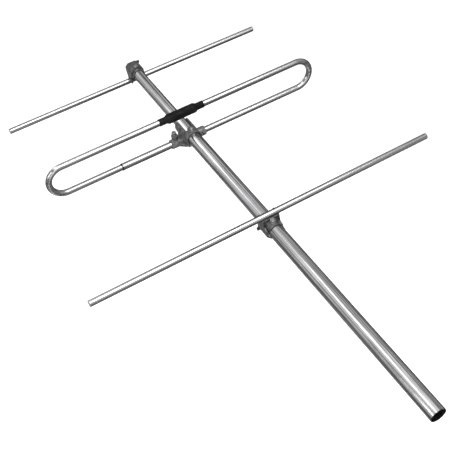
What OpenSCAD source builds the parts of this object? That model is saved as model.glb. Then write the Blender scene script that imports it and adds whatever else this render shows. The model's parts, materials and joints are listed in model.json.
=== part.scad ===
// Three-element yagi antenna, end mounted: director, folded dipole and reflector on a two-part tube boom.
// The boom lies along Y with its bare stub at the rear (-Y). The elements lie along X and the loop stands in XZ.
// The origin is on the boom's axis, at the middle of the stub that a mast clamp grips. All sizes are in mm.

/* [Boom] */
// Outer diameter of the rear boom tube
boom_d = 32; // [30:0.5:34]
// Wall thickness of the rear boom tube
boom_wall = 1.8; // [1.5:0.1:1.8]
// Outer diameter of the front boom tube, which slides into the rear one
front_d = 28; // [24:0.5:28]
// Wall thickness of the front boom tube
front_wall = 1.5; // [1:0.1:2]
// Length of the mast-clamp stretch, which the origin halves
stub_len = 300; // [200:10:400]
// Boom length from the origin to the reflector
reflector_y = 375; // [300:5:450]
// Spacing from the reflector to the folded dipole
reflector_gap = 375; // [300:5:450]
// Spacing from the folded dipole to the director
director_gap = 295; // [200:5:400]
// How far the front tube reaches into the rear tube behind the dipole
tube_overlap = 100; // [60:5:150]

/* [Elements] */
// Outer diameter of the director and reflector tubes
rod_d = 14; // [12:0.5:15]
// Wall thickness of the director and reflector tubes
rod_wall = 1.5; // [1:0.1:2]
// Length of the reflector over its end plugs
reflector_len = 800; // [600:5:1000]
// Length of the director over its end plugs
director_len = 710; // [500:5:900]
// Gap between the boom and a rod that its clamp holds
rod_lift = 3.5; // [3:0.5:5]

/* [Folded dipole] */
// Outer diameter of the loop tube
loop_d = 15; // [14:0.5:16]
// Wall thickness of the loop tube
loop_wall = 1.5; // [1:0.1:2]
// Length of the loop from bend to bend, outside
loop_len = 706; // [600:2:900]
// Height of the loop between the axes of its two legs
loop_rise = 75; // [70:1:90]
// Depth of the lower leg's axis below the boom's axis
loop_drop = 26; // [26:0.5:30]
// Distance of the lower leg's push-in joint from the boom, on the left
joint_x = 172; // [120:2:220]
// Wall thickness of the joint tube that the left half of the loop pushes into
joint_wall = 0.9; // [0.8:0.1:1.2]

/* [Feed sleeve] */
// Offset of the feed sleeve from the boom, to the left
sleeve_offset = 5; // [0:1:8]
// Length of the feed sleeve
sleeve_len = 116; // [110:2:150]
// Length of its thick middle
sleeve_mid_len = 76; // [60:2:90]
// Diameter of its thick middle
sleeve_mid_d = 24; // [22:0.5:26]
// Diameter of its slim ends
sleeve_end_d = 18.5; // [17:0.5:20]

/* [Clamps] */
// Wall thickness of the castings that wrap the boom
cast_wall = 4; // [3.5:0.5:5]
// Length of an element clamp on the mast side of its rod
clamp_near = 33; // [32:1:38]
// Length of an element clamp beyond its rod
clamp_far = 15; // [14:1:18]
// Distance of an element clamp's bolt from its rod
bolt_back = 17; // [16.5:0.5:19]
// Half length of the dipole clamp's barrel, along the loop's lower leg
barrel_half = 45.5; // [42:0.5:60]

/* [Hidden] */
$fn = 96;

// Clearances: a loose gap between pieces, the gap between curved faces that move apart, and a running fit
loose = 0.1;
free_gap = 0.3;
running = 0.05;
// Overshoot of a cutting shape beyond the face it cuts
cut = 1;

boom_r = boom_d / 2;
front_r = front_d / 2;
rod_r = rod_d / 2;
loop_r = loop_d / 2;
boom_rear_y = -stub_len / 2;
dipole_y = reflector_y + reflector_gap;
director_y = dipole_y + director_gap;
collar_far = 20;
rear_tube_front_y = dipole_y + collar_far + 2;
front_tube_rear_y = dipole_y - tube_overlap;
front_tube_front_y = director_y + clamp_far - 2;

// Folded dipole: the bends' centres stand at bend_x on each side, loop_mid_z high
bend_r = loop_rise / 2;
loop_bottom_z = -loop_drop;
loop_top_z = loop_bottom_z + loop_rise;
loop_mid_z = (loop_bottom_z + loop_top_z) / 2;
bend_x = loop_len / 2 - bend_r - loop_r;
joint_d = loop_d + 2 * (loose + joint_wall);
joint_push_in = 32;
joint_tube_inner_x = -12;
right_half_inner_x = -40;
feed_gap = 12;
feed_screw_x = feed_gap / 2 + 7;
feed_screw_hole_r = 1.6;

// M6 fastenings of the three clamps
bolt_r = 3;
bolt_hole_r = 3.25;
head_flats = 10;
head_h = 4;
nut_h = 5;
washer_r = 6;
washer_t = 1.2;
// A nut backs off three turns of 1 mm, and the thread reaches just that far beyond it
nut_travel = 3;
thread_end = 0.2;
plate_t = 4;
saddle_t = 2.8;
seat_pad = 1.5;

// M6 lock screw on the dipole clamp's barrel
lock_r = 3;
lock_flats = 10;
lock_nut_h = 3.6;
lock_head_h = 4.5;
lock_stem = 1;
lock_x = 32;
lock_y = 2;
lock_boss_r = 8;
lock_boss_top = -4;

// Dipole clamp
barrel_wall = 3.2;
bore_step_x = -10;
collar_near = 42;
collar_open_deg = 40;
bridge_near = 43;
bridge_far = 26;
dipole_bolt_back = 34;

// Coaxial socket under the dipole clamp
socket_r = 7.9;
socket_thread = 10;
socket_flange = 20;
socket_flange_t = 2.5;
spigot_h = 4;
coax_r = 2.5;

module hexagon(flats, h, bore_r) {
    difference() {
        cylinder(d = flats / cos(30), h = h, $fn = 6);
        if (bore_r > 0)
            translate([0, 0, -cut]) cylinder(r = bore_r, h = h + 2 * cut);
    }
}

// A round tube along X from x0 to x1 on the axis (0, 0, z)
module tube_x(x0, x1, z, r, bore_r) {
    translate([x0, 0, z]) rotate([0, 90, 0])
        difference() {
            cylinder(r = r, h = x1 - x0);
            if (bore_r > 0)
                translate([0, 0, -cut]) cylinder(r = bore_r, h = x1 - x0 + 2 * cut);
        }
}

module rod_x(x0, x1, z, r) tube_x(x0, x1, z, r, 0);

// An outline drawn in XZ, extruded along Y from y0 to y1
module along_y(y0, y1) {
    translate([0, y1, 0]) rotate([90, 0, 0]) linear_extrude(y1 - y0) children();
}

// An outline drawn in YZ, extruded along X from x0 to x1
module along_x(x0, x1) {
    translate([x0, 0, 0]) rotate([90, 0, 90]) linear_extrude(x1 - x0) children();
}

// Places a clamp at the reflector, whose rod lies on top of the boom
module at_reflector() translate([0, reflector_y, 0]) children();

// Places a clamp at the director, turned over because its rod hangs below the boom
module at_director() translate([0, director_y, 0]) rotate([0, 180, 0]) children();

module at_dipole() translate([0, dipole_y, 0]) children();

// --- Boom -------------------------------------------------------------------

module bolt_hole(y) translate([0, y, -boom_d]) cylinder(r = bolt_hole_r, h = 2 * boom_d);

module boom_tube(y0, y1, r, wall) {
    translate([0, y1, 0]) rotate([90, 0, 0])
        difference() {
            cylinder(r = r, h = y1 - y0);
            translate([0, 0, -cut]) cylinder(r = r - wall, h = y1 - y0 + 2 * cut);
        }
}

module rear_boom_tube() {
    color("silver") difference() {
        boom_tube(boom_rear_y, rear_tube_front_y, boom_r, boom_wall);
        bolt_hole(reflector_y - bolt_back);
        bolt_hole(dipole_y - dipole_bolt_back);
    }
}

module front_boom_tube() {
    color("lightgray") difference() {
        boom_tube(front_tube_rear_y, front_tube_front_y, front_r, front_wall);
        bolt_hole(dipole_y - dipole_bolt_back);
        bolt_hole(director_y - bolt_back);
    }
}

// A push-in plug: a skirt inside the tube and a rounded head against its end, lying along +Z
module end_plug(tube_r, wall, skirt, head) {
    inner = tube_r - wall - loose;
    edge = head * 0.6;
    rotate_extrude()
        union() {
            translate([0, -skirt]) square([inner, skirt + head / 2]);
            square([tube_r - edge, head]);
            square([tube_r, head - edge]);
            translate([tube_r - edge, head - edge]) intersection() {
                circle(r = edge);
                square(edge);
            }
        }
}

module boom_front_plug() {
    color("dimgray") translate([0, front_tube_front_y, 0]) rotate([-90, 0, 0])
        end_plug(front_r, front_wall, 14, 2.5);
}

// --- Director and reflector -----------------------------------------------------

plug_head = 2.5;

module element_rod(len, z) {
    half = len / 2 - plug_head;
    tube_x(-half, half, z, rod_r, rod_r - rod_wall);
}

module element_plugs(len, z) {
    for (side = [-1, 1])
        translate([side * (len / 2 - plug_head), 0, z]) rotate([0, side * 90, 0])
            end_plug(rod_r, rod_wall, 12, plug_head);
}

// Height of a rod's axis over the boom's axis, for a boom of radius r
function rod_z(r) = r + rod_lift + rod_r;

// Side view of a cradle: a skirt along the boom, two horns that hold the rod and a cut-back toe.
// The near horn ends near_top above the rod's axis.
module cradle_side(r, near_top) {
    z = rod_z(r);
    low = -r - cast_wall - seat_pad - cut;
    skirt = 6;
    horn_far = rod_r + 4;
    horn_near = -rod_r - 3.5;
    polygon([
        [clamp_far, low],
        [clamp_far, skirt],
        [horn_far + 2, skirt + 2],
        [horn_far, z],
        [0, z],
        [-rod_r - 0.5, z + near_top],
        [horn_near, z + near_top - 1],
        [horn_near - 2, skirt + 3],
        [-clamp_near + 6, 2],
        [-clamp_near, -1],
        [-clamp_near + 1, -6],
        [-clamp_near + 9, low]
    ]);
}

// The cradle wraps the boom from the side away from the rod; its two cheeks carry the rod in open cups
module cradle(r, near_top) {
    z = rod_z(r);
    outer = r + cast_wall;
    cup_half = outer + 1;
    toe_y = 22;
    toe_wall = 2.8;
    shoulder = 2.5;
    difference() {
        union() {
            intersection() {
                union() {
                    along_y(-toe_y, clamp_far)
                        intersection() {
                            circle(r = outer + shoulder);
                            square(2 * outer, center = true);
                        }
                    along_y(-toe_y, clamp_far) translate([-outer, 0]) square([2 * outer, z + 2 * rod_r]);
                    along_y(-clamp_near, -toe_y) circle(r = r + toe_wall);
                }
                along_x(-2 * outer, 2 * outer) cradle_side(r, near_top);
            }
            // cups under the rod, a little wider than the cheeks
            intersection() {
                rod_x(-cup_half, cup_half, z, rod_r + 2);
                translate([-cup_half, -3 * rod_r, 0]) cube([2 * cup_half, 6 * rod_r, z - 2]);
            }
            // casting lug at the far corner
            translate([-outer - 3.5, clamp_far - 5, 2.5 - outer]) cube([outer, 5, 7]);
            // flat pad under the bolt head
            translate([0, -bolt_back, -outer - seat_pad]) cylinder(r = 8, h = cast_wall);
        }
        // the boom's passage and the space between the cheeks
        along_y(-2 * clamp_near, 2 * clamp_near)
            union() {
                circle(r = r + loose);
                translate([-r - loose, 0]) square([2 * (r + loose), 6 * rod_r]);
            }
        rod_x(-2 * cup_half, 2 * cup_half, z, rod_r + loose);
        translate([-2 * outer, -rod_r - loose, z]) cube([4 * outer, rod_d + 2 * loose, 3 * rod_r]);
        translate([0, -bolt_back, -2 * outer]) cylinder(r = bolt_hole_r, h = 2 * outer);
    }
}

// A saddle on the boom between the cheeks, with a flat seat for the washer and a lip that backs the rod
module clamp_plate(r) {
    z = rod_z(r);
    top = r + plate_t;
    outer = r + free_gap + saddle_t;
    half = r - 0.5;
    lip_back = bolt_back - washer_r - free_gap;
    lip_face = -rod_r - free_gap;
    tail = bolt_back + washer_r + 4;
    difference() {
        union() {
            along_y(-tail, -lip_back)
                intersection() {
                    circle(r = outer);
                    translate([-half, 5]) square([2 * half, outer]);
                }
            translate([0, -bolt_back, 0]) cylinder(r = washer_r + 0.5, h = top);
            along_x(-half, half)
                polygon([[-lip_back, 5], [-lip_back, z - 3], [-lip_back + 1, z - 2], [lip_face, z - 2], [lip_face, 5]]);
        }
        along_y(-2 * clamp_near, clamp_near) circle(r = r + free_gap);
        translate([0, -bolt_back, 0]) cylinder(r = bolt_hole_r, h = 2 * top);
    }
}

// The bolt runs from its head under the cradle's pad to the thread above the nut
function stack_top(r) = r + plate_t + washer_t + nut_h;

module clamp_bolt(r) {
    seat = -r - cast_wall - seat_pad;
    tip = stack_top(r) + nut_travel + thread_end;
    translate([0, -bolt_back, seat - head_h]) hexagon(head_flats, head_h, 0);
    translate([0, -bolt_back, seat]) cylinder(r = bolt_r, h = tip - seat);
}

module clamp_washer(r) {
    translate([0, -bolt_back, r + plate_t])
        difference() {
            cylinder(r = washer_r, h = washer_t);
            translate([0, 0, -cut]) cylinder(r = bolt_hole_r, h = washer_t + 2 * cut);
        }
}

module clamp_nut(r) {
    translate([0, -bolt_back, r + plate_t + washer_t]) hexagon(head_flats, nut_h, bolt_r + running);
}

module director_rod() color("gainsboro") at_director() element_rod(director_len, rod_z(front_r));
module director_end_plugs() color("gray") at_director() element_plugs(director_len, rod_z(front_r));
module director_cradle() color("dimgray") at_director() cradle(front_r, 6);
module director_clamp_plate() color("gray") at_director() clamp_plate(front_r);
module director_bolt() color("lightsteelblue") at_director() clamp_bolt(front_r);
module director_washer() color("lightsteelblue") at_director() clamp_washer(front_r);
module director_nut() color("lightsteelblue") at_director() clamp_nut(front_r);

module reflector_rod() color("gainsboro") at_reflector() element_rod(reflector_len, rod_z(boom_r));
module reflector_end_plugs() color("gray") at_reflector() element_plugs(reflector_len, rod_z(boom_r));
module reflector_cradle() color("dimgray") at_reflector() cradle(boom_r, -2);
module reflector_clamp_plate() color("gray") at_reflector() clamp_plate(boom_r);
module reflector_bolt() color("lightsteelblue") at_reflector() clamp_bolt(boom_r);
module reflector_washer() color("lightsteelblue") at_reflector() clamp_washer(boom_r);
module reflector_nut() color("lightsteelblue") at_reflector() clamp_nut(boom_r);

// --- Folded dipole ---------------------------------------------------------------

// A solid hook: an upper leg from top_x, a half-round bend at +bend_x and a lower leg back to bottom_x
module hook(r, top_x, bottom_x) {
    rod_x(top_x, bend_x, loop_top_z, r);
    rod_x(bottom_x, bend_x, loop_bottom_z, r);
    translate([bend_x, 0, loop_mid_z]) rotate([90, 0, 0]) rotate([0, 0, -90])
        rotate_extrude(angle = 180) translate([bend_r, 0]) circle(r = r);
}

module hook_tube(top_x, bottom_x) {
    difference() {
        hook(loop_r, top_x, bottom_x);
        hook(loop_r - loop_wall, top_x - cut, bottom_x - cut);
    }
}

// The slot in the lower leg over the socket, wide enough for the loop to tilt past the socket's contact
module contact_slot() {
    reach = 2 * loop_r;
    intersection() {
        rod_x(-3, 3, loop_bottom_z, reach);
        translate([-3, 0, loop_bottom_z]) rotate([90, 0, 90]) linear_extrude(6)
            polygon([[0, 0], [-reach, -reach * 0.7], [-reach, -reach], [reach, -reach], [reach, -reach * 0.7]]);
    }
}

// Hole for a feed screw in the top of a tube end
module feed_screw_hole(side)
    translate([-sleeve_offset + side * feed_screw_x, 0, loop_top_z]) cylinder(r = feed_screw_hole_r, h = loop_d);

module loop_left_half() {
    color("gainsboro") at_dipole()
        difference() {
            mirror([1, 0, 0]) hook_tube(sleeve_offset + feed_gap / 2, joint_x - joint_push_in);
            feed_screw_hole(-1);
        }
}

module loop_right_half() {
    color("gainsboro") at_dipole()
        difference() {
            hook_tube(-sleeve_offset + feed_gap / 2, right_half_inner_x);
            contact_slot();
            feed_screw_hole(1);
        }
}

module loop_joint_tube() {
    color("silver") at_dipole()
        tube_x(-joint_x, joint_tube_inner_x, loop_bottom_z, joint_d / 2, loop_r + loose);
}

module loop_joint_seal() {
    seal_w = 3;
    color("black") at_dipole()
        tube_x(-joint_x - seal_w, -joint_x, loop_bottom_z, joint_d / 2 + 0.6, loop_r);
}

// --- Feed point -------------------------------------------------------------------

module feed_sleeve() {
    mid_half = sleeve_mid_len / 2;
    end_half = sleeve_len / 2;
    taper = 6;
    cavity_half = mid_half - taper;
    color("black") at_dipole() translate([-sleeve_offset, 0, loop_top_z]) rotate([0, 90, 0])
        rotate_extrude()
            difference() {
                polygon([
                    [0, -end_half], [sleeve_end_d / 2, -end_half],
                    [sleeve_end_d / 2, -mid_half - taper], [sleeve_mid_d / 2, -mid_half],
                    [sleeve_mid_d / 2, mid_half], [sleeve_end_d / 2, mid_half + taper],
                    [sleeve_end_d / 2, end_half], [0, end_half]
                ]);
                translate([0, -end_half - cut]) square([loop_r + loose, sleeve_len + 2 * cut]);
                translate([0, -cavity_half]) square([loop_r + 2.6, 2 * cavity_half]);
            }
}

module feed_insulator() {
    grip = 20;
    core_r = loop_r - loop_wall - loose;
    half = feed_gap / 2;
    color("white") at_dipole() translate([-sleeve_offset, 0, 0])
        difference() {
            union() {
                rod_x(-half - grip, half + grip, loop_top_z, core_r);
                rod_x(-half, half, loop_top_z, loop_r);
            }
            rod_x(0, half + grip + cut, loop_top_z, coax_r + loose);
            for (side = [-1, 1])
                translate([side * feed_screw_x, 0, loop_top_z]) cylinder(r = feed_screw_hole_r, h = loop_d);
        }
}

// Two pan-head screws that hold the coax's tags on the two tube ends
module feed_screws() {
    head_r = 3;
    color("gold") at_dipole() translate([-sleeve_offset, 0, loop_top_z])
        for (side = [-1, 1])
            translate([side * feed_screw_x, 0, 0]) {
                translate([0, 0, 3.2]) cylinder(r = 1.5, h = loop_r - 3.2 + 0.6);
                translate([0, 0, loop_r + 0.6]) cylinder(r = head_r, h = 1.2);
            }
}

module feed_tags() {
    color("orange") at_dipole() translate([-sleeve_offset, 0, loop_top_z + loop_r])
        for (side = [-1, 1])
            mirror([side < 0 ? 1 : 0, 0, 0])
                difference() {
                    translate([1.5, -2.5, 0]) cube([feed_gap / 2 + 9, 5, 0.5]);
                    translate([feed_screw_x, 0, -cut]) cylinder(r = feed_screw_hole_r, h = 3);
                }
}

// The coax runs from over the socket through the right half of the loop to the feed gap
module feed_coax() {
    color("darkslategray") at_dipole() hook(coax_r, -sleeve_offset + 0.5, -2);
}

// --- Dipole clamp -----------------------------------------------------------------

// Side outline of the collar: tall round the loop's leg, low under the bridge
module collar_side() {
    low = 3;
    bottom = -boom_r - cast_wall - seat_pad;
    polygon([
        [collar_far, bottom - 6], [collar_far, boom_r + cast_wall],
        [-bridge_far + 1, boom_r + cast_wall], [-bridge_far + 1, low],
        [-collar_near, low], [-collar_near, bottom + 3], [-collar_near + 3, bottom - 6]
    ]);
}

module collar_outline() {
    outer = boom_r + cast_wall;
    half_open = outer * 2 * tan(collar_open_deg);
    difference() {
        union() {
            circle(r = outer);
            translate([-outer + 4, -outer - seat_pad]) square([2 * outer - 8, outer]);
        }
        polygon([[0, 0], [half_open, 2 * outer], [-half_open, 2 * outer]]);
    }
}

module lock_boss() {
    translate([-lock_x, lock_y, loop_bottom_z]) cylinder(r = lock_boss_r, h = lock_boss_top - loop_bottom_z);
}

// Flat webs that stiffen the barrel's arms against the collar
module arm_webs() {
    web_t = 8;
    outer = boom_r + cast_wall;
    for (side = [-1, 1])
        mirror([side < 0 ? 1 : 0, 0, 0])
            translate([0, 0, loop_bottom_z - 2]) linear_extrude(web_t)
                polygon([[8, -outer - 8], [outer - 2, -outer - 8], [barrel_half - 7, -9], [barrel_half - 7, 6],
                         [outer - 4, collar_far - 1], [8, collar_far - 1]]);
}

module dipole_clamp_body() {
    barrel_r = joint_d / 2 + barrel_wall;
    color("darkgray") at_dipole()
        difference() {
            union() {
                intersection() {
                    along_y(-collar_near, collar_far) collar_outline();
                    along_x(-2 * boom_d, 2 * boom_d) collar_side();
                }
                rod_x(-barrel_half, barrel_half, loop_bottom_z, barrel_r);
                arm_webs();
                lock_boss();
                translate([0, 0, loop_bottom_z - barrel_r - 1.5]) cylinder(r = socket_flange / 2 + 1, h = barrel_r);
            }
            along_y(-2 * collar_near, 2 * collar_near) circle(r = boom_r + loose);
            rod_x(-2 * barrel_half, bore_step_x, loop_bottom_z, joint_d / 2 + loose);
            rod_x(bore_step_x - cut, 2 * barrel_half, loop_bottom_z, loop_r + loose);
            translate([0, -dipole_bolt_back, -2 * boom_d]) cylinder(r = bolt_hole_r, h = 2 * boom_d);
            translate([-lock_x, lock_y, loop_bottom_z]) cylinder(r = lock_r + loose, h = boom_d);
            translate([0, 0, loop_bottom_z - 2 * barrel_r]) cylinder(r = socket_bore_r(), h = 2 * barrel_r);
        }
}

function socket_bore_r() = 4.2;
function dipole_seat() = -boom_r - cast_wall - seat_pad - 6;

// A saddle over the boom that the nut draws down, with a flat seat for the washer
module dipole_clamp_bridge() {
    top = boom_r + plate_t;
    outer = boom_r + free_gap + 3.2;
    color("gray") at_dipole()
        difference() {
            union() {
                along_y(-bridge_near, -bridge_far)
                    intersection() {
                        circle(r = outer);
                        translate([-outer, 5]) square([2 * outer, outer]);
                    }
                translate([0, -dipole_bolt_back, 0]) cylinder(r = washer_r + 0.5, h = top);
            }
            along_y(-2 * bridge_near, 0) circle(r = boom_r + free_gap);
            translate([0, -dipole_bolt_back, 0]) cylinder(r = bolt_hole_r, h = 2 * top);
        }
}

module dipole_bolt() {
    tip = stack_top(boom_r) + nut_travel + thread_end;
    color("lightsteelblue") at_dipole() translate([0, -dipole_bolt_back, 0]) {
        translate([0, 0, dipole_seat() - head_h]) hexagon(head_flats, head_h, 0);
        translate([0, 0, dipole_seat()]) cylinder(r = bolt_r, h = tip - dipole_seat());
    }
}

module dipole_washer() {
    color("lightsteelblue") at_dipole() translate([0, bolt_back - dipole_bolt_back, 0]) clamp_washer(boom_r);
}

module dipole_nut() {
    color("lightsteelblue") at_dipole() translate([0, bolt_back - dipole_bolt_back, 0]) clamp_nut(boom_r);
}

// A set screw with a hexagon head that presses on the loop's lower leg, and its lock nut
module loop_lock_screw() {
    tip = loop_bottom_z + joint_d / 2 + free_gap;
    head = lock_boss_top + lock_nut_h + lock_stem;
    color("lightsteelblue") at_dipole() translate([-lock_x, lock_y, 0]) {
        translate([0, 0, tip]) cylinder(r = lock_r, h = head - tip);
        translate([0, 0, head]) hexagon(lock_flats, lock_head_h, 0);
    }
}

module loop_lock_nut() {
    color("lightsteelblue") at_dipole() translate([-lock_x, lock_y, lock_boss_top])
        hexagon(lock_flats, lock_nut_h, lock_r + running);
}

// --- Coaxial socket -----------------------------------------------------------------

function socket_top() = loop_bottom_z - joint_d / 2 - barrel_wall - 1.5;

module socket_shell() {
    color("silver") at_dipole() translate([0, 0, socket_top()])
        difference() {
            union() {
                translate([0, 0, -socket_flange_t]) cylinder(r = socket_flange / 2, h = socket_flange_t);
                translate([0, 0, -socket_flange_t - socket_thread]) cylinder(r = socket_r, h = socket_thread);
                translate([0, 0, -cut]) cylinder(r = socket_bore_r() - loose, h = spigot_h + cut);
            }
            translate([0, 0, -socket_flange_t - socket_thread - cut]) cylinder(r = 6, h = socket_thread - 2 + cut);
            translate([0, 0, -socket_thread]) cylinder(r = 3.2, h = 2 * socket_thread);
        }
}

module socket_insulator() {
    color("white") at_dipole() translate([0, 0, socket_top()])
        difference() {
            translate([0, 0, -socket_flange_t - 3]) cylinder(r = 3.1, h = socket_flange_t + 3 + spigot_h);
            translate([0, 0, -socket_thread]) cylinder(r = 1.05, h = 2 * socket_thread);
        }
}

module socket_contact() {
    reach_z = loop_bottom_z - coax_r - free_gap;
    foot_z = socket_top() - socket_flange_t - 7;
    color("gold") at_dipole() translate([0, 0, foot_z])
        difference() {
            cylinder(r = 1, h = reach_z - foot_z);
            translate([0, 0, -cut]) cylinder(r = 0.7, h = 5 + cut);
        }
}

rear_boom_tube();
front_boom_tube();
boom_front_plug();
director_rod();
director_end_plugs();
director_cradle();
director_clamp_plate();
director_bolt();
director_washer();
director_nut();
reflector_rod();
reflector_end_plugs();
reflector_cradle();
reflector_clamp_plate();
reflector_bolt();
reflector_washer();
reflector_nut();
loop_left_half();
loop_right_half();
loop_joint_tube();
loop_joint_seal();
feed_sleeve();
feed_insulator();
feed_screws();
feed_tags();
feed_coax();
dipole_clamp_body();
dipole_clamp_bridge();
dipole_bolt();
dipole_washer();
dipole_nut();
loop_lock_screw();
loop_lock_nut();
socket_shell();
socket_insulator();
socket_contact();
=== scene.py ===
"""Looks of the three-element yagi antenna: materials, finished pieces, studio and camera for the CAD frame.

Everything is in metres in the CAD frame: the boom along Y, the elements along X, the loop standing in XZ.
"""

import json
import math

import bmesh
import bpy
from mathutils import Matrix, Vector, noise


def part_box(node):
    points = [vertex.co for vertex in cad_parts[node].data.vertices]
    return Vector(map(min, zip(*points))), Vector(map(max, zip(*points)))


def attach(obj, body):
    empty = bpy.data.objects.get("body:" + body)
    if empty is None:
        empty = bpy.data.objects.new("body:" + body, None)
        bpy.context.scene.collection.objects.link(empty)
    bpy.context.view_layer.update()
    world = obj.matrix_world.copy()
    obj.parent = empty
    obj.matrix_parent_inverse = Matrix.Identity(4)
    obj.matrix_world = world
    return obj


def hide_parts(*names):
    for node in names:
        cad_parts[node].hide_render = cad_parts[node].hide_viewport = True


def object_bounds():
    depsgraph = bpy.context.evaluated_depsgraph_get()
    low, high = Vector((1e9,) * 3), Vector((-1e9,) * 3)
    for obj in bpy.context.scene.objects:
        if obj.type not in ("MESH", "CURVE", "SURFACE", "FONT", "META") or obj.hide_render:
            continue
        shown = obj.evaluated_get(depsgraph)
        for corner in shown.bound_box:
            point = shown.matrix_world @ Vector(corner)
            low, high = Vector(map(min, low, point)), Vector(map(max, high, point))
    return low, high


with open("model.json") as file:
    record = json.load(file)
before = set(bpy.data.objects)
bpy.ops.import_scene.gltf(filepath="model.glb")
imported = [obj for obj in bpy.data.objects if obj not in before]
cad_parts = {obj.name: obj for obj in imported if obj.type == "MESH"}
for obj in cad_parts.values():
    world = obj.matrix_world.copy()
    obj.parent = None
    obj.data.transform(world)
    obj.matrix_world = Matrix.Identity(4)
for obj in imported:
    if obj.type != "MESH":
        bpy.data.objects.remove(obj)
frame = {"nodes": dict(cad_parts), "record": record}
cad_low, cad_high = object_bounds()

MM = 0.001
SHARP_EDGE_DEG = 32


# --- Materials ------------------------------------------------------------------

class Surface:
    """One procedural material, built node by node on the object's own coordinates."""

    def __init__(self, name, **sockets):
        self.mat = bpy.data.materials.new(name)
        self.mat.use_nodes = True
        self.tree = self.mat.node_tree
        self.shader = self.tree.nodes["Principled BSDF"]
        for label, value in sockets.items():
            self.shader.inputs[label.replace("_", " ")].default_value = value
        self.coords = self.tree.nodes.new("ShaderNodeTexCoord").outputs["Object"]

    def link(self, output, socket):
        self.tree.links.new(output, socket)

    def stretched(self, scale):
        """Object coordinates scaled per axis: a texture draws out along the axis with the small number."""
        node = self.tree.nodes.new("ShaderNodeMapping")
        node.inputs["Scale"].default_value = scale
        self.link(self.coords, node.inputs["Vector"])
        return node.outputs["Vector"]

    def noise(self, scale, detail=4.0, rough=0.55, distortion=0.0):
        """Fractal noise from 0 to 1; scale is one number per axis, in cycles per metre."""
        node = self.tree.nodes.new("ShaderNodeTexNoise")
        node.inputs["Scale"].default_value = 1.0
        node.inputs["Detail"].default_value = detail
        node.inputs["Roughness"].default_value = rough
        node.inputs["Distortion"].default_value = distortion
        self.link(self.stretched(scale), node.inputs["Vector"])
        return node.outputs["Fac"]

    def cells(self, scale):
        node = self.tree.nodes.new("ShaderNodeTexVoronoi")
        node.inputs["Scale"].default_value = 1.0
        self.link(self.stretched(scale), node.inputs["Vector"])
        return node.outputs["Distance"]

    def ramp(self, value, *stops):
        """A colour ramp; each stop is (position, grey or colour)."""
        node = self.tree.nodes.new("ShaderNodeValToRGB")
        band = node.color_ramp
        while len(band.elements) < len(stops):
            band.elements.new(0.5)
        for element, (place, colour) in zip(band.elements, stops):
            element.position = place
            rgb = (colour,) * 3 if isinstance(colour, (int, float)) else colour
            element.color = (*rgb, 1.0)
        self.link(value, node.inputs["Fac"])
        return node.outputs["Color"]

    def mix(self, factor, a, b, mode="MIX"):
        """Mixes two colours; each of factor, a and b is an output or a plain value."""
        node = self.tree.nodes.new("ShaderNodeMix")
        node.data_type = "RGBA"
        node.blend_type = mode
        colours = [s for s in node.inputs if s.type == "RGBA"]
        for value, socket in ((factor, node.inputs["Factor"]), (a, colours[0]), (b, colours[1])):
            if isinstance(value, bpy.types.NodeSocket):
                self.link(value, socket)
            elif isinstance(value, (int, float)) and socket.type == "RGBA":
                socket.default_value = (value, value, value, 1.0)
            elif socket.type == "RGBA":
                socket.default_value = (*value, 1.0)
            else:
                socket.default_value = value
        return [s for s in node.outputs if s.type == "RGBA"][0]

    def finish(self, colour, rough, height, depth, edge=0.0):
        """Links colour, roughness and a bump of that depth in metres, over edges rounded by edge metres."""
        self.link(colour, self.shader.inputs["Base Color"])
        self.link(rough, self.shader.inputs["Roughness"])
        bump = self.tree.nodes.new("ShaderNodeBump")
        bump.inputs["Strength"].default_value = 1.0
        bump.inputs["Distance"].default_value = depth
        self.link(height, bump.inputs["Height"])
        if edge:
            bevel = self.tree.nodes.new("ShaderNodeBevel")
            bevel.samples = 6
            bevel.inputs["Radius"].default_value = edge
            self.link(bevel.outputs["Normal"], bump.inputs["Normal"])
        self.link(bump.outputs["Normal"], self.shader.inputs["Normal"])
        return self.mat


def drawn_aluminium(name, along, tones, rough, aniso, rim):
    """Drawn tube: polish streaks along one axis, cloudy oxide, hairline scratches and a few dull spots."""
    def lengthwise(fine, slow):
        return tuple(slow if i == along else fine for i in range(3))

    s = Surface(name, Metallic=1.0, Anisotropic=aniso, Specular_Tint=(rim, rim, rim, 1.0))
    streaks = s.noise(lengthwise(280, 2.2), 6.0, 0.65)
    hairs = s.noise(lengthwise(2600, 14), 3.0, 0.7)
    cloud = s.noise((26, 26, 26), 5.0, 0.6)
    spots = s.noise((330, 330, 330), 3.0, 0.5)
    dark, mid, bright = tones
    colour = s.ramp(streaks, (0.42, dark), (0.50, mid), (0.59, bright))
    colour = s.mix(0.35, colour, s.ramp(cloud, (0.35, mid), (0.65, bright)), "MULTIPLY")
    colour = s.mix(s.ramp(spots, (0.66, 0.0), (0.76, 0.55)), colour, tuple(0.72 * c for c in dark))
    low, high = rough
    gloss = s.mix(0.5, s.ramp(streaks, (0.25, high), (0.75, low)), s.ramp(cloud, (0.3, low), (0.7, high)))
    gloss = s.mix(s.ramp(spots, (0.66, 0.0), (0.76, 1.0)), gloss, min(1.0, high + 0.2))
    return s.finish(colour, gloss, s.mix(0.45, hairs, streaks), 0.00004)


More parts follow.
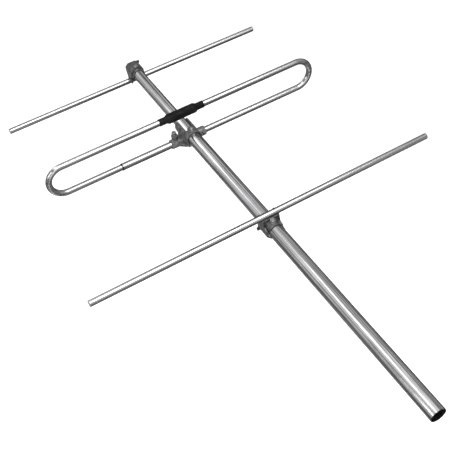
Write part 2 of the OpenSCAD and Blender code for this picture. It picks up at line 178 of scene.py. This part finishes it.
def casting(name, tones, rough):
    """Die casting: mottled skin, fine grain, small pits and paler rubbed patches."""
    s = Surface(name, Metallic=0.55, Specular_IOR_Level=0.45)
    mottle = s.noise((150, 150, 150), 6.0, 0.62, 0.6)
    grain = s.noise((1500, 1500, 1500), 3.0, 0.6)
    rubbed = s.noise((48, 48, 48), 4.0, 0.6, 0.3)
    pits = s.cells((760, 760, 760))
    dark, mid, pale = tones
    colour = s.ramp(mottle, (0.32, dark), (0.55, mid), (0.78, pale))
    colour = s.mix(s.ramp(rubbed, (0.54, 0.0), (0.72, 0.7)), colour, pale)
    colour = s.mix(s.ramp(pits, (0.05, 0.7), (0.16, 0.0)), colour, tuple(0.4 * c for c in dark))
    low, high = rough
    gloss = s.ramp(mottle, (0.3, high), (0.75, low))
    return s.finish(colour, gloss, s.mix(0.4, grain, mottle), 0.00016, 0.0007)


def plated(name, tones, rough):
    """Plated steel or turned metal: faint turning rings, a patchy film and small stains."""
    s = Surface(name, Metallic=1.0, Specular_IOR_Level=0.5)
    film = s.noise((240, 240, 240), 5.0, 0.6, 0.4)
    rings = s.noise((500, 500, 4200), 3.0, 0.6)
    stains = s.noise((620, 620, 620), 4.0, 0.6)
    dark, mid, pale = tones
    colour = s.ramp(film, (0.32, dark), (0.52, mid), (0.75, pale))
    colour = s.mix(s.ramp(stains, (0.62, 0.0), (0.74, 0.6)), colour, tuple(0.6 * c for c in dark))
    low, high = rough
    return s.finish(colour, s.ramp(film, (0.3, high), (0.7, low)), rings, 0.00003, 0.0003)


def polymer(name, tones, rough, along=None, depth=0.00008, shine=0.45):
    """Moulded polymer: fine skin texture, or drawn-out ribs along one axis, with dusty paler wear."""
    s = Surface(name, Metallic=0.0, Specular_IOR_Level=shine)
    scale = tuple(70 if i == along else 900 for i in range(3)) if along is not None else (700, 700, 700)
    ribs = s.noise(scale, 5.0, 0.65, 0.5)
    skin = s.noise((2600, 2600, 2600), 2.0, 0.5)
    dust = s.noise((60, 60, 60), 5.0, 0.6)
    dark, mid, pale = tones
    colour = s.ramp(ribs, (0.30, dark), (0.56, mid), (0.76, pale))
    colour = s.mix(s.ramp(dust, (0.50, 0.0), (0.75, 0.45)), colour, pale)
    low, high = rough
    gloss = s.mix(0.4, s.ramp(ribs, (0.3, high), (0.7, low)), s.ramp(dust, (0.35, low), (0.65, high)))
    return s.finish(colour, gloss, s.mix(0.3, ribs, skin), depth, 0.0003)


def grey(*levels):
    return tuple((level, level, level * 1.01) for level in levels)


X_AXIS, Y_AXIS = 0, 1
FINISHES = {
    "boom_aluminium": drawn_aluminium(
        "boom_aluminium", Y_AXIS, grey(0.28, 0.50, 0.84), rough=(0.12, 0.28), aniso=0.4, rim=0.1),
    "element_aluminium": drawn_aluminium(
        "element_aluminium", X_AXIS, grey(0.34, 0.47, 0.62), rough=(0.16, 0.28), aniso=0.2, rim=0.02),
    # Painted shade: dark_casting is the same cast alloy as grey_casting, given a darker colour that stands for
    # the shade the clamps lie in.
    "dark_casting": casting("dark_casting", grey(0.02, 0.06, 0.17), (0.40, 0.60)),
    "grey_casting": casting("grey_casting", grey(0.035, 0.11, 0.27), (0.42, 0.62)),
    "zinc_steel": plated("zinc_steel", grey(0.20, 0.32, 0.48), (0.26, 0.44)),
    "nickel_plate": plated(
        "nickel_plate", ((0.50, 0.49, 0.46), (0.62, 0.61, 0.58), (0.74, 0.73, 0.70)), (0.18, 0.34)),
    "brass": plated("brass", ((0.55, 0.41, 0.17), (0.72, 0.55, 0.25), (0.83, 0.68, 0.36)), (0.22, 0.40)),
    "black_rubber": polymer("black_rubber", grey(0.001, 0.004, 0.026), (0.45, 0.68), X_AXIS,
                            depth=0.0003, shine=0.08),
    "black_plastic": polymer("black_plastic", grey(0.02, 0.03, 0.06), (0.38, 0.55)),
    "grey_plastic": polymer("grey_plastic", grey(0.12, 0.18, 0.27), (0.40, 0.58)),
    "white_insulator": polymer("white_insulator", grey(0.66, 0.74, 0.80), (0.35, 0.52)),
    "coax_jacket": polymer("coax_jacket", grey(0.015, 0.025, 0.05), (0.36, 0.52), X_AXIS),
}

body_of = {node: body for body, nodes in frame["record"]["behaviour"]["bodies"].items() for node in nodes}
slot_of = {row["node"]: row["material_slot"] for row in frame["record"]["subparts"]}


def paint(obj, slot):
    obj.data.materials.clear()
    obj.data.materials.append(FINISHES[slot])


for node_name, node_object in frame["nodes"].items():
    for index in range(max(1, len(node_object.data.materials))):
        if node_object.data.materials:
            node_object.data.materials[index] = FINISHES[slot_of[node_name]]
        else:
            node_object.data.materials.append(FINISHES[slot_of[node_name]])


# --- Finished pieces --------------------------------------------------------------

def skin(name, rings, hollow):
    """A closed skin through rings of points: joined end to start if hollow, else capped at both ends."""
    count = len(rings[0])
    points = [point for ring in rings for point in ring]
    faces = []
    spans = len(rings) if hollow else len(rings) - 1
    for row in range(spans):
        here = row * count
        there = (row + 1) % len(rings) * count
        for i in range(count):
            j = (i + 1) % count
            faces.append((here + i, here + j, there + j, there + i))
    if not hollow:
        last = (len(rings) - 1) * count
        faces.append(tuple(reversed(range(count))))
        faces.append(tuple(last + i for i in range(count)))
    mesh = bpy.data.meshes.new(name)
    mesh.from_pydata(points, [], faces)
    work = bmesh.new()
    work.from_mesh(mesh)
    bmesh.ops.recalc_face_normals(work, faces=work.faces)
    work.to_mesh(mesh)
    work.free()
    mesh.shade_smooth()
    mesh.set_sharp_from_angle(angle=math.radians(SHARP_EDGE_DEG))
    obj = bpy.data.objects.new(name, mesh)
    bpy.context.collection.objects.link(obj)
    return obj


def turned(name, outline, start, direction, steps, shape=None, hollow=True):
    """A turned piece.

    The outline holds (distance along the axis, radius); shape changes a radius by place and angle.
    """
    axis = Vector(direction)
    side = Vector((1, 0, 0)) if abs(axis.x) < 0.5 else Vector((0, 1, 0))
    other = axis.cross(side)
    rings = []
    for along, radius in outline:
        ring = []
        for k in range(steps):
            angle = math.tau * k / steps
            r = shape(along, radius, angle) if shape else radius
            ring.append(start + axis * along + (side * math.cos(angle) + other * math.sin(angle)) * r)
        rings.append(ring)
    return skin(name, rings, hollow)


def stand_in_for(obj, node):
    """obj shows in place of a CAD node, on the same body and with the same material slot."""
    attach(obj, body_of[node])
    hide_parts(node)
    paint(obj, slot_of[node])


def hexagon_limit(flats, angle):
    """Distance from the axis to a hexagon's side in that direction, with corners on the side axis."""
    sixth = math.tau / 6
    return flats / 2 / math.cos(angle % sixth - sixth / 2)


def thread_dip(along, angle, pitch, depth):
    """How far a V thread lies below its crests, at that place and angle."""
    turn = (along / pitch - angle / math.tau) % 1.0
    return depth * abs(2 * turn - 1)


def chamfered(flats, low, high, chamfer, steps=5):
    """Outer outline of a hexagon head or nut: a cone cuts its corners at the ends that have a chamfer."""
    flat_r = flats / 2 * 0.96
    corner_r = flats / 2 / math.cos(math.tau / 12)
    start, end = chamfer
    rows = []
    for k in range(steps if start else 0):
        rows.append((low + start * k / steps, flat_r + (corner_r - flat_r) * k / steps))
    rows += [(low + start, corner_r), (high - end, corner_r)]
    for k in range(1, steps + 1 if end else 0):
        rows.append((high - end + end * k / steps, corner_r + (flat_r - corner_r) * k / steps))
    return rows


M6_PITCH = 1.0 * MM
THREAD_DEPTH = 0.45 * MM
HEAD_HEIGHT = 4.0 * MM
LOCK_HEAD_HEIGHT = 4.5 * MM
SHANK_R = 3.0 * MM
NUT_BORE = 3.02 * MM
WASHER_BORE = 3.25 * MM


def axis_of(node):
    """(low end on the axis, high end on the axis, width across flats) of an upright fastener."""
    low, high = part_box(node)
    x, y = (low.x + high.x) / 2, (low.y + high.y) / 2
    return Vector((x, y, low.z)), Vector((x, y, high.z)), high.y - low.y


def bolt(node, head_up, head_height, threaded):
    """Hexagon bolt with a chamfered head, a plain shank and a cut thread on its last stretch."""
    low, high, flats = axis_of(node)
    start, direction = (high, (0, 0, -1)) if head_up else (low, (0, 0, 1))
    length = (high - low).length
    thread_from = length - threaded
    # The head's face is dished a little inside its chamfer
    outline = [(0.15 * MM, flats * 0.36), (0.0, flats * 0.38)]
    outline += chamfered(flats, 0.0, head_height, (0.7 * MM, 0.0))
    outline += [(head_height, SHANK_R + 0.25 * MM), (head_height + 0.3 * MM, SHANK_R), (thread_from, SHANK_R)]
    rows = int(threaded / M6_PITCH * 6)
    outline += [(thread_from + threaded * k / rows, SHANK_R) for k in range(1, rows)]
    outline += [(length - 0.3 * MM, SHANK_R - 0.1 * MM), (length, SHANK_R - 0.6 * MM)]

    def shape(along, radius, angle):
        if along < head_height + 0.05 * MM and radius > SHANK_R + 0.3 * MM:
            return min(radius, hexagon_limit(flats, angle))
        if thread_from < along < length - 0.25 * MM:
            return radius - thread_dip(along, angle, M6_PITCH, THREAD_DEPTH)
        return radius

    stand_in_for(turned(node + "_finished", outline, start, direction, 36, shape, hollow=False), node)


def nut(node):
    """Hexagon nut, chamfered on both faces, with a countersunk bore."""
    low, high, flats = axis_of(node)
    height = (high - low).length
    lead = 0.4 * MM
    outer = chamfered(flats, 0.0, height, (0.6 * MM, 0.6 * MM))
    outline = [(0.0, NUT_BORE + lead)] + outer + [(height, NUT_BORE + lead), (height - lead, NUT_BORE)]
    outline += [(lead, NUT_BORE)]

    def shape(along, radius, angle):
        return min(radius, hexagon_limit(flats, angle))

    stand_in_for(turned(node + "_finished", outline, low, (0, 0, 1), 60, shape), node)


def washer(node):
    """Stamped washer: one face with a rolled edge, the other with a sharp burr side."""
    low, high, width = axis_of(node)
    height = (high - low).length
    r = width / 2
    roll = 0.35 * MM
    outline = [(0.0, WASHER_BORE), (0.0, r - 0.1 * MM), (0.1 * MM, r), (height - roll, r)]
    outline += [(height - roll * 0.3, r - roll * 0.3), (height, r - roll), (height, WASHER_BORE + roll)]
    outline += [(height - roll, WASHER_BORE)]
    stand_in_for(turned(node + "_finished", outline, low, (0, 0, 1), 60), node)


def sleeve():
    """The moulded sleeve over the feed gap: slim cuffs, soft shoulders and a striated thick middle."""
    low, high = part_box("feed_sleeve")
    length = high.x - low.x
    centre_y, centre_z = (low.y + high.y) / 2, (low.z + high.z) / 2
    mid_r = (high.z - low.z) / 2 - 0.15 * MM
    cuff_r = 8.6 * MM
    bore = 7.6 * MM
    shoulder = 21 * MM
    blend = 8 * MM
    rows = 150

    def outer(along):
        inside = min(along, length - along)
        t = min(1.0, max(0.0, (inside - shoulder + blend / 2) / blend))
        swell = t * t * (3 - 2 * t)
        lip = 0.25 * MM * math.exp(-((inside - 2.2 * MM) / (1.2 * MM)) ** 2)
        round_off = 0.5 * MM * math.exp(-inside / (0.5 * MM))
        return cuff_r + (mid_r - cuff_r) * swell + lip - round_off

    def shape(along, radius, angle):
        if radius <= bore + 0.5 * MM:
            return radius
        ridge = noise.noise(Vector((9 * math.cos(angle), 9 * math.sin(angle), along * 55)))
        fine = noise.noise(Vector((31 * math.cos(angle), 31 * math.sin(angle), along * 170 + 40)))
        sag = noise.noise(Vector((1.6 * math.cos(angle), 1.6 * math.sin(angle), along * 45 + 9)))
        depth = 0.42 * max(0.0, -ridge) + 0.22 * max(0.0, -fine) + 0.35 * max(0.0, -sag)
        return radius - depth * MM

    outline = [(0.3 * MM, bore)]
    outline += [(length * k / rows, outer(length * k / rows)) for k in range(rows + 1)]
    outline += [(length - 0.3 * MM, bore)]
    start = Vector((low.x, centre_y, centre_z))
    stand_in_for(turned("feed_sleeve_moulded", outline, start, (1, 0, 0), 168, shape), "feed_sleeve")


def joint_seal():
    """The rubber ring at the loop's push-in joint, round on its outside."""
    low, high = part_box("loop_joint_seal")
    width = high.x - low.x
    outer = (high.z - low.z) / 2
    inner = 7.5 * MM
    rows = 10
    outline = [(0.0, inner)]
    for k in range(rows + 1):
        place = k / rows
        outline.append((width * place, outer - 0.7 * MM * abs(2 * place - 1) ** 2.4))
    outline += [(width, inner)]
    start = Vector((low.x, (low.y + high.y) / 2, (low.z + high.z) / 2))
    stand_in_for(turned("loop_joint_seal_moulded", outline, start, (1, 0, 0), 72), "loop_joint_seal")


def socket():
    """The socket's shell: a flange under the clamp and a fine outside thread round an open mouth."""
    low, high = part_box("socket_shell")
    top = Vector(((low.x + high.x) / 2, (low.y + high.y) / 2, high.z))
    length = high.z - low.z
    flange_r = (high.x - low.x) / 2
    thread_r = 7.9 * MM
    pitch = 1.06 * MM
    thread_top = 8.0 * MM
    thread_end = length - 0.5 * MM
    neck_bore = 3.2 * MM
    spigot_r = 4.1 * MM
    flange_top = 5 * MM
    flange_bottom = 7.5 * MM
    chamfer = 0.3 * MM
    lead = 0.6 * MM
    mouth_r = 6 * MM
    mouth_floor = 9.5 * MM
    rows = 56
    outline = [(0.0, neck_bore), (0.0, spigot_r - 0.2 * MM), (0.2 * MM, spigot_r), (flange_top, spigot_r)]
    outline += [(flange_top, flange_r - chamfer), (flange_top + chamfer, flange_r)]
    outline += [(flange_bottom - chamfer, flange_r), (flange_bottom, flange_r - chamfer)]
    outline += [(flange_bottom, thread_r - lead)]
    outline += [(thread_top + (thread_end - thread_top) * k / rows, thread_r) for k in range(rows + 1)]
    outline += [(length, thread_r - lead), (length, mouth_r + 0.2 * MM), (length - 0.2 * MM, mouth_r)]
    outline += [(mouth_floor, mouth_r), (mouth_floor, neck_bore)]

    def shape(along, radius, angle):
        slack = 0.01 * MM
        if radius > thread_r - 0.1 * MM and thread_top - slack <= along <= thread_end + slack:
            return radius - thread_dip(along, angle, pitch, 0.5 * MM)
        return radius

    stand_in_for(turned("socket_shell_threaded", outline, top, (0, 0, -1), 60, shape), "socket_shell")


def cast_skin(node, voxel):
    """Gives a CAD casting the soft edges and the uneven skin of a real one, without changing its own mesh."""
    obj = frame["nodes"][node]
    remesh = obj.modifiers.new("cast_fillets", "REMESH")
    remesh.mode = "VOXEL"
    remesh.voxel_size = voxel
    remesh.use_smooth_shade = True
    smooth = obj.modifiers.new("cast_round", "SMOOTH")
    smooth.factor = 0.5
    smooth.iterations = 5
    texture = bpy.data.textures.new(node + "_skin", "CLOUDS")
    texture.noise_scale = 0.0035
    texture.noise_depth = 3
    displace = obj.modifiers.new("cast_skin", "DISPLACE")
    displace.texture = texture
    displace.strength = 0.22 * MM
    displace.mid_level = 0.6


for node_name in ("director_bolt", "reflector_bolt", "dipole_bolt"):
    bolt(node_name, node_name == "director_bolt", HEAD_HEIGHT, 16 * MM)
bolt("loop_lock_screw", True, LOCK_HEAD_HEIGHT, 12 * MM)
for node_name in ("director_nut", "reflector_nut", "dipole_nut", "loop_lock_nut"):
    nut(node_name)
for node_name in ("director_washer", "reflector_washer", "dipole_washer"):
    washer(node_name)
sleeve()
joint_seal()
socket()
for node_name in ("director_cradle", "reflector_cradle", "dipole_clamp_body"):
    cast_skin(node_name, 0.6 * MM)
for node_name in ("director_clamp_plate", "reflector_clamp_plate", "dipole_clamp_bridge"):
    cast_skin(node_name, 0.45 * MM)


# --- Studio ---------------------------------------------------------------------

def backdrop():
    """A plain pale floor well below the antenna. Reflections look past it, into the sky's lower half."""
    half = 14.0
    drop = 0.55
    mesh = bpy.data.meshes.new("floor")
    centre = (cad_low + cad_high) / 2
    level = cad_low.z - drop
    signs = ((-1, -1), (1, -1), (1, 1), (-1, 1))
    corners = [(centre.x + sx * half, centre.y + sy * half, level) for sx, sy in signs]
    mesh.from_pydata(corners, [], [(0, 1, 2, 3)])
    floor = bpy.data.objects.new("floor", mesh)
    bpy.context.collection.objects.link(floor)
    s = Surface("floor_paper", Specular_IOR_Level=0.1)
    tint = s.ramp(s.noise((3, 3, 3), 3.0), (0.3, 0.93), (0.7, 0.95))
    mesh.materials.append(s.finish(tint, s.ramp(tint, (0.0, 0.8), (1.0, 0.9)), tint, 0.00001))
    floor.visible_glossy = False


def softbox(name, place, target, width, depth, power):
    """A soft rectangular light of that size in metres and power in watts, turned toward its target."""
    light = bpy.data.lights.new(name, "AREA")
    light.shape = "RECTANGLE"
    light.size = width
    light.size_y = depth
    light.energy = power
    obj = bpy.data.objects.new(name, light)
    obj.location = place
    obj.rotation_euler = (Vector(target) - Vector(place)).to_track_quat("-Z", "Y").to_euler()
    bpy.context.collection.objects.link(obj)


def sky():
    """The room that the metal reflects.

    It has soft bands of light and shade from left to right, dimmer toward the floor. Over the boom lies a strip
    that darkens toward the far horizon. The camera itself sees plain white. No material reads any of this.
    """
    world = bpy.data.worlds.new("studio")
    bpy.context.scene.world = world
    world.use_nodes = True
    tree = world.node_tree
    background = tree.nodes["Background"]
    coords = tree.nodes.new("ShaderNodeTexCoord")

    def along(axis):
        """How far a direction leans toward an axis: 0 is straight away from it and 1 is straight along it."""
        lean = tree.nodes.new("ShaderNodeVectorMath")
        lean.operation = "DOT_PRODUCT"
        lean.inputs[1].default_value = axis
        tree.links.new(coords.outputs["Generated"], lean.inputs[0])
        half = tree.nodes.new("ShaderNodeMath")
        half.operation = "MULTIPLY_ADD"
        half.inputs[1].default_value = 0.5
        half.inputs[2].default_value = 0.5
        tree.links.new(lean.outputs["Value"], half.inputs[0])
        return half.outputs["Value"]

    def levels(place, *stops):
        """Brightness by place; each stop is (place, brightness)."""
        ramp = tree.nodes.new("ShaderNodeValToRGB")
        while len(ramp.color_ramp.elements) < len(stops):
            ramp.color_ramp.elements.new(0.5)
        for element, (position, level) in zip(ramp.color_ramp.elements, stops):
            element.position = position
            element.color = (level, level, level, 1.0)
        tree.links.new(place, ramp.inputs["Fac"])
        return ramp.outputs["Color"]

    def blend(kind, factor, under, over):
        """Blends over onto under; factor and over are an output or a plain value."""
        node = tree.nodes.new("ShaderNodeMix")
        node.data_type = "RGBA"
        node.blend_type = kind
        colours = [socket for socket in node.inputs if socket.type == "RGBA"]
        if isinstance(factor, float):
            node.inputs["Factor"].default_value = factor
        else:
            tree.links.new(factor, node.inputs["Factor"])
        tree.links.new(under, colours[0])
        if isinstance(over, tuple):
            colours[1].default_value = over
        else:
            tree.links.new(over, colours[1])
        return [socket for socket in node.outputs if socket.type == "RGBA"][0]

    rightward = (1, 0, 0)
    upward = (0, 0, 1)
    up_and_near = (0, -0.45, 1)
    window = ((0.31, 5.0), (0.38, 5.0))
    sides = levels(along(rightward), (0.12, 1.0), (0.20, 1.6), (0.26, 1.0), *window, (0.43, 1.1),
                   (0.50, 1.9), (0.56, 1.2), (0.74, 1.3), (0.84, 1.1), (0.92, 0.8))
    rising = levels(along(upward), (0.34, 0.5), (0.66, 1.0))
    room = blend("MULTIPLY", 1.0, sides, rising)
    strip = levels(along(up_and_near), (0.68, 0.3), (0.80, 2.1))
    over_boom = levels(along(rightward), (0.57, 0.0), (0.60, 1.0), (0.68, 1.0), (0.72, 0.0))
    lit = blend("MIX", over_boom, room, strip)
    seen = tree.nodes.new("ShaderNodeLightPath")
    backdrop_white = (1.7, 1.7, 1.7, 1.0)
    shown = blend("MIX", seen.outputs["Is Camera Ray"], lit, backdrop_white)
    tree.links.new(shown, background.inputs["Color"])
    background.inputs["Strength"].default_value = 0.55


def camera():
    """The photograph's viewpoint, fitted: above and left of the boom's bare end, leaning a little right."""
    place = Vector((-0.4986, -0.6128, 1.1735))
    forward = Vector((0.2598, 0.6397, -0.7234)).normalized()
    up = Vector((0.4283, 0.5951, 0.6800))
    right = forward.cross(up).normalized()
    up = right.cross(forward)
    data = bpy.data.cameras.new("camera")
    data.lens = 62.83
    data.sensor_width = 36.0
    data.clip_start = 0.01
    data.clip_end = 100.0
    obj = bpy.data.objects.new("camera", data)
    obj.matrix_world = Matrix.Translation(place) @ Matrix((right, up, -forward)).transposed().to_4x4()
    bpy.context.collection.objects.link(obj)
    bpy.context.scene.camera = obj


backdrop()
sky()
softbox("overhead", (0.1, -0.5, 2.7), target=(0.0, 0.4, 0.0), width=2.4, depth=1.8, power=95)
softbox("left_fill", (-2.6, 0.2, 1.2), target=(0.0, 0.5, 0.0), width=1.5, depth=1.5, power=22)
camera()
bpy.context.scene.view_settings.view_transform = "Standard"
